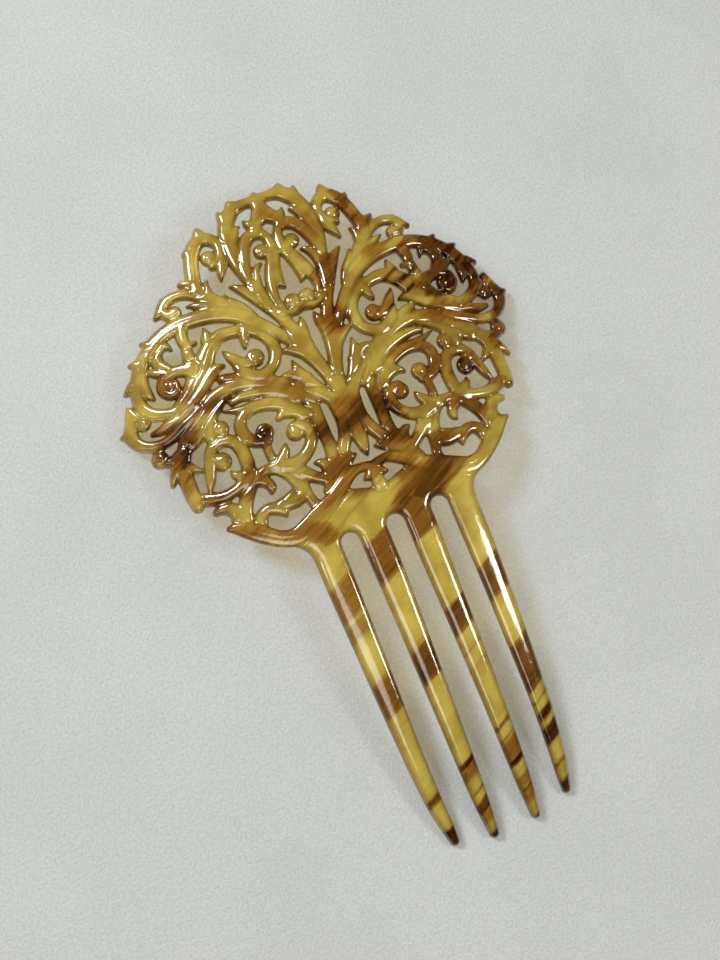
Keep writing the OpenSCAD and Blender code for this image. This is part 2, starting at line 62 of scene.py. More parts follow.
# ---------------------------------------------------------------- strokes of the crest
# Each stroke is a centre line of (x, y, half width), and one point is a ball.  They are the
# right half, foremost piece first.
CREST = {
    "base_band": [
        [(0, 10.7, 0.9), (2.5, 11.2, 0.95), (5, 11.1, 1.1), (7.5, 10.1, 1.4), (10.3, 8.2, 1.6),
         (13.5, 6.2, 1.8), (17, 4.4, 2.2), (21, 2.4, 2.4), (25.5, 0.9, 2.2), (29.5, 1.8, 1.9),
         (33.5, 4.5, 2), (37, 7.3, 1.8), (39.8, 9.2, 1.1), (41.6, 9.8, 0.6)],
    ],
    "clasp": [
        [(0, 9.9, 0.8), (0, 8, 1.4), (0, 5.2, 1.8)],
        [(0.8, 9.6, 0.9), (2.2, 8.3, 0.8), (3.3, 8, 0.4)],
    ],
    "fan": [
        [(0, 13.5, 0.2), (0, 16, 1.1), (0, 19.5, 1.85), (0, 23, 1.7), (0, 28, 2), (0, 35, 2)],
        [(0.5, 28, 1.8), (2.5, 31, 1.8), (4.8, 33.4, 1.3), (7, 35.4, 0.8), (9.2, 37, 0.3)],
        [(3, 32, 1.6), (2.8, 27.5, 1.4), (3, 24, 1.3), (3.9, 20.5, 1.5), (5.6, 17.3, 1.5)],
    ],
    "bud": [
        [(2.1, 60.8, 2)],
        [(0, 58.7, 1.1), (2.3, 57.9, 0.9), (4.5, 58, 0.8), (6.2, 58.8, 1)],
    ],
    "crown": [
        [(0, 92.4, 1.4), (2.2, 92.5, 1.2), (4.4, 92.5, 1.3), (6.8, 92.1, 1.7), (8.9, 90.6, 2),
         (10.6, 88.3, 2), (11.9, 85.4, 1.8)],
        [(0, 93, 1.3), (0, 94.8, 0.2)],
        [(7.1, 92.8, 1.7), (7.7, 94.6, 0.4)],
        [(10.4, 90, 1.7), (11.3, 92.4, 0.5)],
        [(0, 91.6, 1.9), (0, 89.5, 2.05), (0.9, 87.5, 2.2), (2.6, 85.7, 1.7), (3.4, 84.2, 1.6)],
        [(3.6, 84.9, 1.4), (5, 86.2, 0.9), (5.9, 87.8, 0.2)],
    ],
    "crown_scroll": [
        [(1.3, 76, 1.3), (1.35, 78.5, 1.3), (1.7, 80.8, 1.2), (2.9, 82.5, 1.3), (5, 83, 1.6),
         (7.1, 82, 1.6), (8.7, 79.8, 1.5), (9.8, 76.8, 1.4), (10.6, 73.5, 1.2), (11, 71, 1)],
        [(4.5, 77.4, 1.9)],
        [(1.8, 76.6, 1.2), (3.6, 76.6, 1.2)],
    ],
    "drop_leaf": [
        [(1.2, 76, 1.2), (2.6, 73.8, 1.7), (3.9, 71, 1.8), (5, 68.3, 1.7), (5.9, 65.6, 1.2),
         (6, 62.6, 0.9), (5.5, 60, 0.9), (5, 58, 0.6)],
        [(1.5, 74.2, 0.9), (2.5, 71, 1), (3.3, 68.4, 1.3), (3.1, 66.6, 0.9), (2.2, 65.2, 0.3)],
    ],
    "crown_leaf": [
        [(11.9, 86, 1.5), (12.4, 82, 1.5), (12.4, 78.5, 1.6), (12, 75, 1.5), (11.2, 71.5, 1.3),
         (10, 67.5, 1.4)],
        [(7.4, 86.6, 0.3), (8.9, 85.8, 0.9), (10.4, 83.6, 1.1), (11.4, 80.8, 1.2), (11.8, 77.5, 1.2)],
        [(5.9, 74.2, 0.3), (7.4, 73.5, 0.8), (8.6, 71.6, 1), (9.2, 69, 1.1), (9.3, 66, 1.3),
         (8.8, 62.5, 1.4)],
    ],
    "trunk": [
        [(0.8, 35, 1.5), (2, 41, 1.5), (3.3, 46, 1.9), (4.2, 50, 2.3), (5.3, 54, 1.6), (6.8, 58, 1.5),
         (8.8, 62, 1.7), (11, 65.6, 1.6), (13.4, 68.7, 1.2), (15.3, 70.5, 0.7), (16.7, 71.3, 0.2)],
        [(2.9, 50, 1.2), (2.4, 53.5, 1), (2, 55.8, 0.3)],
        [(1.5, 38, 1.3), (2.8, 42, 1.5), (4.8, 45.6, 1.4), (7.2, 47.6, 1.1), (9.4, 48.6, 0.7)],
    ],
    "shoulder_scroll": [
        [(18.6, 78.6, 0.9), (16.5, 79.5, 1.1), (15.2, 81.3, 1.2), (14.9, 83.8, 1.3), (16.2, 86.1, 1.5),
         (18.6, 87.2, 1.8), (21, 86, 1.9), (23, 83.3, 1.8), (24, 80.3, 1.8), (24.8, 77, 1.8),
         (25, 74, 1.6)],
        [(18.6, 88, 1.8), (18.6, 90.3, 0.6)],
        [(23.2, 84.3, 1.5), (24.5, 85.9, 0.5)],
        [(26, 76.4, 1.2), (28.7, 77.4, 0.6)],
        [(18.6, 81.2, 1.9)],
        [(14.9, 80.2, 0.9), (16.2, 77.6, 1.3), (17.3, 75.3, 0.8), (17.8, 73.6, 0.3)],
    ],
    "upper_scroll": [
        [(5.2, 48, 1.4), (8, 52, 1.3), (11, 56.2, 1.4), (14.4, 59.8, 1.6), (19, 63.4, 1.7),
         (24, 65.6, 1.8), (29, 66.7, 1.9), (34, 66.9, 1.9), (39, 66, 1.8), (43, 64, 1.8),
         (46.5, 61.2, 1.7), (49, 57.8, 1.7), (50.6, 54, 1.6), (50.8, 50.5, 1.6),
         (49.3, 47.6, 1.6), (46.5, 45.9, 1.4), (43, 45, 1.2)],
        [(42.5, 65, 1.4), (44.5, 66.4, 0.5)],
        [(47.5, 61.4, 1.4), (49.6, 62.2, 0.5)],
        [(51, 56.5, 1.4), (53.4, 55.4, 0.6)],
        [(44, 63, 1.2), (46.2, 60, 1.1), (47.7, 56.5, 1.2), (48, 53.5, 1.3), (46.9, 50.8, 0.5)],
        [(32.5, 66, 1.3), (33.6, 63.5, 1.5), (33.6, 61.5, 1.3), (32.6, 60.4, 0.8), (31, 60.4, 0.6)],
    ],
    "shoulder_leaf": [
        [(13, 58.7, 1.2), (15.5, 62, 1.5), (19, 66.3, 1.6), (22.5, 70, 1.7), (26, 73.3, 1.6),
         (30, 74.8, 1.2), (33.6, 74.6, 1.3), (35.8, 72.8, 1.4), (34.8, 70.6, 1.2), (32.8, 70.6, 1.6)],
        [(34.2, 74.2, 1.2), (35.2, 75.8, 0.3)],
        [(36, 72.6, 1.4), (38.2, 71.4, 0.6)],
        [(21.3, 75.5, 0.3), (22.3, 74, 0.8), (22.4, 71.5, 1.1), (21.5, 69, 1.3), (19.5, 66, 1.5)],
        [(13.6, 60.6, 1), (15.5, 64, 1.3), (17.7, 67.2, 0.9), (18.6, 69.7, 0.3)],
        [(17, 62.5, 1.4), (21, 66, 1.3), (25, 68.9, 1.1), (28, 70.4, 0.6), (29.2, 70.8, 0.3)],
    ],
    "upper_volute": [
        [(34.5, 54, 2), (37.5, 55, 1.5), (40.5, 55.4, 1.3), (43, 54.2, 1.3), (43.8, 51.8, 1.2),
         (42.3, 49.8, 1.1), (40.3, 50.2, 1), (40, 52, 1)],
        [(41.5, 52, 1.7)],
        [(37.4, 61.2, 0.3), (38.6, 63, 0.9), (40.8, 62.8, 1.3), (42.2, 61, 1.6), (41.8, 58.5, 1.5),
         (40, 56.3, 1.2)],
        [(42, 56, 1), (44.3, 57.4, 0.9), (46, 58.6, 0.3)],
    ],
    "flower_leaf": [
        [(20, 59, 1.3), (24.3, 59.4, 1.7), (28, 57.4, 2), (31.2, 54, 2.6), (34.6, 50.5, 2.6),
         (37.8, 47.6, 2), (41.5, 45.6, 1.6), (45, 44.8, 1)],
        [(27.5, 59.5, 1.8), (27.3, 63, 0.4)],
        [(33.8, 60, 1.2), (34, 57.5, 1.5), (34.5, 54.5, 2)],
        [(26.3, 51.3, 0.5), (28.5, 51.4, 1.1), (31.5, 49.6, 1.5), (35, 47, 1.5), (39, 44.9, 1.3),
         (44, 43.1, 1.2), (48, 42, 1), (50.8, 42, 0.6)],
    ],
    "middle_scroll": [
        [(20.5, 59, 1.4), (17.3, 58.3, 1.5), (14, 56, 1.5), (12.2, 53, 1.5), (12, 49.8, 1.6),
         (13.3, 46.9, 1.5), (16, 45.1, 1.4), (19, 45.3, 1.3), (22, 47.5, 1.3), (23.8, 50, 0.5)],
        [(18, 58, 1.2), (18.3, 56, 1.1), (18.9, 54.3, 0.7), (19.2, 53.4, 0.3)],
        [(17.6, 50, 2.2)],
        [(18.6, 48.8, 1.2), (21.6, 50, 1.5), (23.6, 52.6, 1.1), (25, 55, 0.3)],
    ],
    "side_leaf": [
        [(54.5, 51.8, 0.3), (54.1, 49.6, 1.4), (55.2, 46.8, 1.6), (56.3, 44.2, 1.8), (55.3, 41.3, 1.5),
         (52.8, 39.2, 1.3), (49, 38.4, 1.2), (45, 39.3, 1.2), (41, 41.3, 1.2), (37, 43.6, 1)],
        [(56.5, 44.5, 1.6), (58.9, 44.8, 0.5)],
        [(52, 45.9, 1.9)],
        [(50.6, 48.6, 1.2), (52.6, 48.4, 1.4), (54, 49.4, 1.2)],
    ],
    "side_stem": [
        [(45.2, 33.3, 1.9), (46.7, 30, 1.9), (47, 26, 1.9), (47, 22, 1.8), (46.9, 18.8, 1.4)],
        [(47.5, 31.5, 1.5), (45, 29.3, 1.3), (42.6, 27.4, 0.6)],
        [(47.5, 31.5, 1.5), (49.5, 29, 1.1), (51, 26.7, 0.6)],
        [(51.4, 34.8, 2.2)],
        [(45.5, 34, 1.4), (48.5, 33, 1.2), (50.5, 33.5, 1.2)],
    ],
    "lower_scroll": [
        [(6.7, 33, 1.2), (8.4, 35, 1.7), (12, 38.8, 1.8), (17, 42.2, 1.8), (22, 44.3, 1.7),
         (27, 45, 1.6), (31.5, 44.4, 1.7), (35.5, 42.5, 1.8), (39, 39.9, 1.9), (42.5, 36.8, 1.9),
         (45.2, 33.3, 1.9)],
        [(13, 40.5, 1.2), (18, 43.8, 1.2), (23, 46.3, 1.1), (27, 47.8, 1.1), (28.6, 48, 0.8)],
        [(11, 35, 1.6), (15, 38.5, 1.4), (20, 40.6, 1.3), (25, 41.4, 1), (28.2, 41, 0.7)],
        [(4.5, 34, 1.6), (6.6, 38, 1.6), (8.3, 41.5, 1.4), (8.8, 45.4, 0.3)],
        [(7, 39.5, 1.5), (10, 41.6, 1.2), (12.6, 42, 0.7), (13.8, 41.9, 0.3)],
        [(10.8, 39, 1.3)],
    ],
    "inner_curl": [
        [(28, 44, 1), (31, 42.3, 1.2), (34, 40.3, 1.5), (36.3, 37.6, 1.8), (36.8, 34.8, 1.5)],
        [(33.5, 35.7, 2)],
        [(37.6, 37.4, 1), (39.8, 35.6, 1.1), (42.3, 33.8, 0.6)],
    ],
    "low_scroll": [
        [(23, 28, 1.2), (25.8, 28.4, 1.3), (27.9, 30.7, 1.5), (28.5, 33.5, 1.5), (27.4, 35.9, 1.4),
         (24.5, 37, 1.2), (21, 36.9, 1.2), (17.5, 35.7, 1.3), (14.3, 33.6, 1.6), (11.8, 30.7, 1.8)],
        [(23, 30.1, 2.2)],
        [(23.6, 28, 1), (24, 25.6, 1), (24, 23, 1)],
        [(13.5, 34.5, 1.6), (17.5, 37, 1.2), (22, 38, 0.9), (27, 38.4, 0.8), (31, 39.6, 0.3)],
        [(11, 30, 1.4), (13.8, 32, 1.3), (16.5, 32.7, 1.1), (18.3, 32.1, 0.7), (18.9, 31.3, 0.3)],
    ],
    "low_volute": [
        [(15.5, 28.2, 1.4), (13, 28, 1.3), (11.9, 25.6, 1.3), (12.8, 22.6, 1.4), (15.4, 20.2, 1.5),
         (18.6, 19.2, 1.6), (22, 19.8, 1.5)],
        [(15.6, 26.9, 2.1)],
        [(19.2, 25.1, 0.3), (20, 23.3, 1), (21.5, 21.7, 1.3), (24, 20.8, 1.3)],
    ],
    "stalk": [
        [(8.6, 36, 1.2), (8.5, 32, 1.6), (8.4, 28, 1.5), (8.4, 24, 1.5), (8.4, 20, 1.5),
         (8.9, 16.5, 1.6), (10.2, 13.4, 1.8), (12, 10.5, 1.8)],
        [(5.6, 17.3, 1.5), (8.2, 14.3, 1.7), (10.8, 11.2, 1.9), (13, 8.8, 1.5)],
        [(2.9, 15.3, 0.4), (5, 14.9, 1.2), (7.5, 13.7, 1.5)],
        [(13.7, 17.1, 0.5), (12.2, 16.5, 1), (11.3, 14.8, 1.3), (11.5, 12, 1.6)],
        [(12.8, 11.8, 1.2), (15.3, 13.7, 1.4), (17.8, 16, 1.7), (20.5, 18.8, 1.5)],
    ],
    "side_volute": [
        [(30.4, 24, 1.7), (30.4, 27.5, 1.6), (31.4, 30.6, 1.5), (33.5, 32.3, 1.5), (36.3, 32.4, 1.5),
         (38.6, 30.7, 1.3), (39.8, 27.7, 1.3), (40.9, 24.5, 1.2), (42, 21.9, 0.7), (42.5, 20.4, 0.3)],
        [(36.4, 27.3, 2.3)],
        [(37.5, 28.5, 1.2), (38.8, 29.5, 1.2)],
        [(30.4, 24, 1.7), (31, 21.8, 1.6), (33.2, 19.9, 1.5), (36, 18.8, 1.3), (39.5, 18.4, 1.4),
         (43, 19.2, 1.6), (46, 20.3, 1.5)],
        [(33, 21.5, 1.3), (34.6, 22.6, 0.9), (35, 23.8, 0.4)],
        [(28, 31, 1.4), (30.2, 29.3, 1.4)],
    ],
    "base_scroll": [
        [(18, 6.5, 1.2), (18.8, 10, 1.2), (19.7, 13.5, 1.8), (21, 17, 1.8), (23.7, 19.7, 1.5),
         (27, 20.4, 1.3), (30.5, 19.2, 1.5), (33.5, 16.4, 1.7), (35.6, 12.8, 1.7), (36.8, 9, 1.8)],
        [(29.5, 18.5, 1.2), (27.6, 17.3, 1.3), (27, 15.5, 1), (27.6, 14.1, 0.4)],
        [(19.6, 10.8, 1.5), (21.8, 10, 1.7), (24, 10.1, 1.9), (26.2, 10.2, 1.6)],
        [(24.2, 11.2, 1), (22.6, 12.1, 0.8), (21.7, 12.9, 0.3)],
        [(26.2, 7, 0.4), (26.6, 8.6, 1.1), (28, 9.9, 1.5), (30.2, 10.5, 1.4), (32.2, 9.5, 1.5),
         (33.2, 7.4, 1.5), (33.5, 5.4, 1.4)],
        [(36, 11, 1.6), (38.3, 13.8, 1.7), (40.6, 15.5, 1.4), (43, 15.3, 0.8)],
        [(38, 9.5, 1.2), (39, 12, 1)],
    ],
}
INNER_TINE = [
    (6.6, -8, 4.05), (6.5, -16, 4.05), (6.5, -30, 3.7), (6.6, -46, 3.35), (6.6, -60, 3.0),
    (6.6, -70, 2.75), (6.55, -80, 2.45), (6.45, -87, 2.05), (6.3, -93.65, 1.45),
]
OUTER_TINE = [
    (19.8, -8, 4.15), (19.8, -16, 4.1), (19.7, -30, 3.75), (19.5, -46, 3.4), (19.3, -60, 3.0),
    (19, -70, 2.75), (18.4, -80, 2.4), (17.7, -86, 2.0), (17.1, -91.2, 1.4),
]
SPINE_EDGE = [
    (0, 5.4), (3, 5.7), (6, 6.7), (9, 7.2), (13, 5.5), (20, 2.4), (26.5, -0.5), (27.6, -1.3),
    (25.7, -2.8), (24.4, -5), (23.95, -8),
]


# ---------------------------------------------------------------- carving the flat field
# Cells of the field, in the plane and in height
CELL = 0.28
CELL_H = 0.36
# How far outside a stroke its depth is still measured
MARGIN = 1.4
# Half the field's width and length
FIELD_X, FIELD_Y = 62.0, 98.0
xs = np.arange(-FIELD_X, FIELD_X, CELL)
ys = np.arange(-FIELD_Y, FIELD_Y, CELL)
# Step along a stroke's curve
STROKE_STEP = 0.3
# How much broader than its stroke each carved piece is, on each side
FULLER = 0.42
# Height of a stroke's edge as a share of its ridge
EDGE_SHARE = 0.45
# The band along the top of the spine lies almost flush with it, behind a fine line
FLUSH_EDGE, FLUSH_CUT = 0.8, 0.22
# How much lower each piece lies than the one before it, as a share of the sheet
LOWER_BY = 0.006
# A thin stroke's ridge is lower: below this half width, by this share of the difference
THIN_BELOW, THIN_DROP = 1.3, 0.55
# Width of a leaf's rounded edge, and how much of its rise the rounding makes
LEAF_BEVEL, BEVEL_SHARE = 1.2, 0.4
# The line cut along a leaf: its depth, half width, the least half width of a leaf that has one,
# the step along it, and how many steps it leaves free at each end
VEIN, VEIN_W, VEIN_FROM = 0.14, 0.2, 1.75
VEIN_STEP, VEIN_TRIM = 0.5, 3
# The spiral cut into a ball: its depth, half width, turns, points, and its radius as shares of
# the ball's, at the start and lost with each turn
SPIRAL, SPIRAL_W = 0.4, 0.24
SPIRAL_TURNS, SPIRAL_POINTS = 1.25, 26
SPIRAL_START, SPIRAL_SHRINK = 0.98, 0.5
# A cut line fades out over this length at its ends
LINE_FADE = 1.2
# The balls' spirals start on the side away from here
BALL_FOCUS = (30, 45)
# How far the spine and the tines' roots reach into each other
ROOT_OVERLAP = 2.0
# Height of the plain spine and tines, their edge's share of it, and how far in they rise
PLAIN_T = 2.95
PLAIN_EDGE = 0.4
BEVEL, CROWN, BEVEL_PART = 2.3, 3.8, 0.55
# Depth and half width of the line cut round a foremost piece
GROOVE, GROOVE_W = 0.45, 0.26
# No line is cut deeper than this inside a piece in front; a line starts at one distance inside
# the comb's outline, and is whole after a second
HIDDEN = 0.05
CUT_FROM, CUT_OVER = 0.25, 0.5
# A height counts as carved only this far outside the outline
OVERHANG = 0.6
# Radii that round the upper and lower edges of the sheet
ROUND_TOP, ROUND_BOTTOM = 0.6, 0.55
# Blur of the depth and of the relief, in cells
BLUR_DEPTH, BLUR_RELIEF = 0.7, 0.8


def smooth_line(points, step):
    """Catmull-Rom curve through the points, in steps no longer than step."""
    p = np.array(points, float)
    if len(p) == 1:
        return p
    ends = np.vstack([2 * p[0] - p[1], p, 2 * p[-1] - p[-2]])
    out = []
    for i in range(len(p) - 1):
        a, b, c, d = ends[i:i + 4]
        n = max(1, math.ceil(math.hypot(c[0] - b[0], c[1] - b[1]) / step))
        t = (np.arange(n) / n)[:, None]
        out.append((2 * b + (c - a) * t + (2 * a - 5 * b + 4 * c - d) * t**2
                    + (3 * b - a - 3 * c + d) * t**3) / 2)
    return np.vstack(out + [p[-1:]])


def stamp(points):
    """A window of the field with the depth inside one stroke, and its half width there."""
    line = smooth_line(points, STROKE_STEP)
    reach = line[:, 2:] + MARGIN
    low, high = (line[:, :2] - reach).min(0), (line[:, :2] + reach).max(0)
    i0, i1 = np.searchsorted(xs, [low[0], high[0]])
    j0, j1 = np.searchsorted(ys, [low[1], high[1]])
    inside = np.full((i1 - i0, j1 - j0), -MARGIN)
    width = np.ones((i1 - i0, j1 - j0))
    for (x, y, w), (x2, y2, w2) in zip(line, line[1:] if len(line) > 1 else line):
        far = max(w, w2) + MARGIN
        a0, a1 = np.searchsorted(xs, [min(x, x2) - far, max(x, x2) + far]) - i0
        b0, b1 = np.searchsorted(ys, [min(y, y2) - far, max(y, y2) + far]) - j0
        view = (slice(a0, a1), slice(b0, b1))
        u, v = xs[i0:i1][view[0], None] - x, ys[j0:j1][None, view[1]] - y
        ex, ey = x2 - x, y2 - y
        t = np.clip((u * ex + v * ey) / max(ex * ex + ey * ey, 1e-9), 0, 1)
        w = w + t * (w2 - w)
        d = w - np.hypot(u - t * ex, v - t * ey)
        better = d > inside[view]
        inside[view][better] = d[better]
        width[view][better] = w[better]
    return (slice(i0, i1), slice(j0, j1)), inside, width


def polygon_depth(corners, x, y):
    """Distance inside a closed polygon, negative outside it."""
    a = np.array(corners, float)
    near = np.full(x.shape, 1e9)
    inside = np.zeros(x.shape, bool)
    for (ax, ay), (bx, by) in zip(a, np.roll(a, -1, 0)):
        ex, ey = bx - ax, by - ay
        t = np.clip(((x - ax) * ex + (y - ay) * ey) / max(ex * ex + ey * ey, 1e-9), 0, 1)
        near = np.minimum(near, np.hypot(x - ax - t * ex, y - ay - t * ey))
        if ay != by:
            inside ^= ((ay > y) != (by > y)) & (x < ex * (y - ay) / (by - ay) + ax)
    return np.where(inside, near, -near)


def mirrored(points):
    return [(-p[0],) + tuple(p[1:]) for p in points]


def fuller(points):
    """A crest stroke with a little more breadth, and less of it at the pointed ends."""
    return [(x, y, w + FULLER * min(1.0, w)) for x, y, w in points]


def dome(u):
    return np.sqrt(np.clip(1 - np.clip(u, 0, 1) ** 2, 0, 1))


def blurred(field, radius):
    """The field after a Gaussian blur, with radius in cells."""
    n = math.ceil(3 * radius)
    weights = np.exp(-0.5 * (np.arange(-n, n + 1) / radius) ** 2)
    weights /= weights.sum()
    for axis in (0, 1):
        field = sum(w * np.roll(field, k - n, axis) for k, w in enumerate(weights))
    return field


def engrave(relief, points, cut, half):
    """Cuts a line into the relief, fading out at its ends."""
    ends = np.array([points[0][:2], points[-1][:2]])
    window, inside, _ = stamp([(p[0], p[1], 0.0) for p in points])
    x, y = xs[window[0], None], ys[None, window[1]]
    fade = np.min([np.hypot(x - ex, y - ey) for ex, ey in ends], 0)
    relief[window] -= cut * np.exp(-(inside / half) ** 2) * np.clip(fade / LINE_FADE, 0, 1)


def engraved_lines(strokes):
    """The spirals of a piece's balls and the veins of its broad leaves, with their cuts."""
    for stroke in strokes:
        x, y, w = stroke[0]
        if len(stroke) == 1:
            turns = np.linspace(0.0, SPIRAL_TURNS, SPIRAL_POINTS)
            radii = w * (SPIRAL_START - SPIRAL_SHRINK * turns)
            angles = 2 * math.pi * turns + math.atan2(y - BALL_FOCUS[1], x - BALL_FOCUS[0])
            yield [(x + r * math.cos(a), y + r * math.sin(a)) for r, a in zip(radii, angles)], \
                SPIRAL, SPIRAL_W
        elif max(p[2] for p in stroke) > VEIN_FROM:
            line = [p[:2] for p in smooth_line(stroke, VEIN_STEP).tolist()]
            if len(line) > 3 * VEIN_TRIM + 1:
                yield line[VEIN_TRIM:-VEIN_TRIM], VEIN, VEIN_W


def plain_part():
    """Depth inside the spine and the tines."""
    x, y = np.meshgrid(xs, ys, indexing="ij")
    right = smooth_line([(p[0], p[1], 0) for p in SPINE_EDGE], 1.0)[:, :2]
    low = SPINE_EDGE[-1][1] - 2 * ROOT_OVERLAP
    outline = [tuple(p) for p in right] + [(right[-1][0], low), (-right[-1][0], low)]
    outline += [(-p[0], p[1]) for p in right[::-1]]
    depth = polygon_depth(outline, x, y)
    for gap_x in (-GAP_PITCH, 0, GAP_PITCH):
        dy = np.maximum(y - (GAP_TOP - GAP_R), 0)
        depth = np.minimum(depth, np.hypot(x - gap_x, dy) - GAP_R)
    depth[:, ys < low + ROOT_OVERLAP] = -MARGIN
    for tine in (INNER_TINE, OUTER_TINE):
        root = (tine[0][0], TINE_START_Y - tine[0][2] + ROOT_OVERLAP, tine[0][2])
        for points in (tine, mirrored(tine)):
            window, inside, _ = stamp([(math.copysign(root[0], points[0][0]),) + root[1:]] + points)
            depth[window] = np.maximum(depth[window], inside)
    return depth


def carve():
    """The distance inside the comb's outline, and the height of its face, over the field."""
    depth = plain_part()
    rise = (BEVEL_PART * dome(1 - depth / BEVEL)
            + (1 - BEVEL_PART) * dome(1 - depth / CROWN))
    relief = PLAIN_T * (PLAIN_EDGE + (1 - PLAIN_EDGE) * rise)
    relief[depth < -OVERHANG] = 0
    in_front = np.full_like(depth, -MARGIN)
    cuts = np.zeros_like(depth)
    for order, (name, strokes) in enumerate(CREST.items()):
        edge, cut = (FLUSH_EDGE, FLUSH_CUT) if name == "base_band" else (EDGE_SHARE, GROOVE)
        piece = np.full_like(depth, -MARGIN)
        top = SHEET_T * (1 - LOWER_BY * order)
        for stroke in strokes:
            for points in (stroke, mirrored(stroke)):
                window, inside, width = stamp(fuller(points))
                ridge = top - THIN_DROP * np.clip(THIN_BELOW - width, 0, 1)
                rise = (BEVEL_SHARE * dome(1 - inside / np.minimum(width, LEAF_BEVEL))
                        + (1 - BEVEL_SHARE) * dome(1 - inside / width))
                height = ridge * (edge + (1 - edge) * rise)
                height[inside < -OVERHANG] = 0
                relief[window] = np.maximum(relief[window], height)
                piece[window] = np.maximum(piece[window], inside)
        line = cut * np.exp(-(piece / GROOVE_W) ** 2)
        line[in_front > HIDDEN] = 0
        cuts = np.maximum(cuts, line)
        in_front = np.maximum(in_front, piece)
    depth = np.maximum(depth, in_front)
    relief -= cuts * np.clip((depth - CUT_FROM) / CUT_OVER, 0, 1)
    for strokes in CREST.values():
        for points, cut, half in engraved_lines(strokes):
            for line in (points, mirrored(points)):
                engrave(relief, line, cut, half)
    return blurred(depth, BLUR_DEPTH), blurred(relief, BLUR_RELIEF)


# ---------------------------------------------------------------- meshing and bending
# How the net's vertices are pulled onto the surface: times, share, farthest, least slope squared
PULLS = 3
PULL_SHARE = 0.9
PULL_REACH = 0.6 * CELL
LEAST_SLOPE = 0.05


def solid_value(depth, relief, h):
    """Above zero inside the carved sheet, whose edges are rounded; and its slopes by each."""
    a, b = np.maximum(ROUND_TOP - depth, 0), np.maximum(ROUND_TOP - relief + h, 0)
    ab = np.maximum(np.hypot(a, b), 1e-9)
    upper = ROUND_TOP - ab
    c, d = np.maximum(ROUND_BOTTOM - upper, 0), np.maximum(ROUND_BOTTOM - h, 0)
    cd = np.maximum(np.hypot(c, d), 1e-9)
    by_depth = c / cd * a / ab
    by_relief = c / cd * b / ab
    return ROUND_BOTTOM - cd, by_depth, by_relief, d / cd - by_relief


def surface_net(values):
    """Vertices in grid steps and quads of the surface where values crosses zero."""
    inside = values > 0
    near = [np.s_[:-1], np.s_[1:]]
    corners = [(i, j, k) for i in (0, 1) for j in (0, 1) for k in (0, 1)]
    count = sum(inside[near[i], near[j], near[k]].astype(np.int8) for i, j, k in corners)
    cells = np.argwhere((count > 0) & (count < 8))
    number = np.full(count.shape, -1)
    number[tuple(cells.T)] = np.arange(len(cells))
    total, hits = np.zeros((len(cells), 3)), np.zeros((len(cells), 1))
    for a in corners:
        for axis in range(3):
            if a[axis] == 0:
                b = np.array(a) + np.eye(3, dtype=int)[axis]
                va = values[tuple((cells + a).T)]
                vb = values[tuple((cells + b).T)]
                crossed = ((va > 0) != (vb > 0))[:, None]
                t = (va / np.where(va == vb, 1, va - vb))[:, None]
                total += np.where(crossed, a + t * np.eye(3)[axis], 0)
                hits += crossed
    vertices = cells + total / hits
    quads = []
    for axis in range(3):
        u, v = (axis + 1) % 3, (axis + 2) % 3
        step = np.eye(3, dtype=int)
        first = inside.take(range(inside.shape[axis] - 1), axis)
        second = inside.take(range(1, inside.shape[axis]), axis)
        edges = np.argwhere(first != second)
        ring = [edges - step[u] - step[v], edges - step[v], edges, edges - step[u]]
        quad = np.stack([number[tuple(r.T)] for r in ring], 1)
        leaving = first[tuple(edges.T)]
        quads.append(np.where(leaving[:, None], quad, quad[:, ::-1]))
    return vertices, np.vstack(quads)


def sampled(field, x, y):
    """Bilinear value of a field at points of the flat pattern."""
    u = np.clip((x - xs[0]) / CELL, 0, len(xs) - 1.001)
    v = np.clip((y - ys[0]) / CELL, 0, len(ys) - 1.001)
    i, j = u.astype(int), v.astype(int)
    u, v = u - i, v - j
    return ((1 - u) * ((1 - v) * field[i, j] + v * field[i, j + 1])
            + u * ((1 - v) * field[i + 1, j] + v * field[i + 1, j + 1]))


def bend_radius(y, h):
    """Distance from the axis of the bend across the comb, and of the bend along it."""
    along = np.sqrt((LENGTH_R + h) ** 2 - (y - LEVEL_Y) ** 2)
    return CROSS_R - LENGTH_R + along, along


def over_axis(x, y, h):
    return np.sqrt(bend_radius(y, h)[0] ** 2 - x**2)


APEX_Z = max(CROSS_R - float(over_axis(x, y, 0.0)) for x, y in REST_POINTS)


def bent(points):
    """Points of the flat pattern, in millimetres, as places on the comb, in metres."""
    x, y, h = points.T
    return np.stack([x, y, APEX_Z - CROSS_R + over_axis(x, y, h)], 1) * MM


def bent_normals(points, slopes):
    """Outward normals on the comb from the slopes of the flat solid's value."""
    x, y, h = points.T
    radius, along = bend_radius(y, h)
    height = over_axis(x, y, h)
    z_x = -x / height
    z_y = -radius / height * (y - LEVEL_Y) / along
    z_h = radius / height * (LENGTH_R + h) / along
    fx, fy, fh = slopes.T
    n = -np.stack([fx - fh * z_x / z_h, fy - fh * z_y / z_h, fh / z_h], 1)
    return n / np.linalg.norm(n, axis=1, keepdims=True)


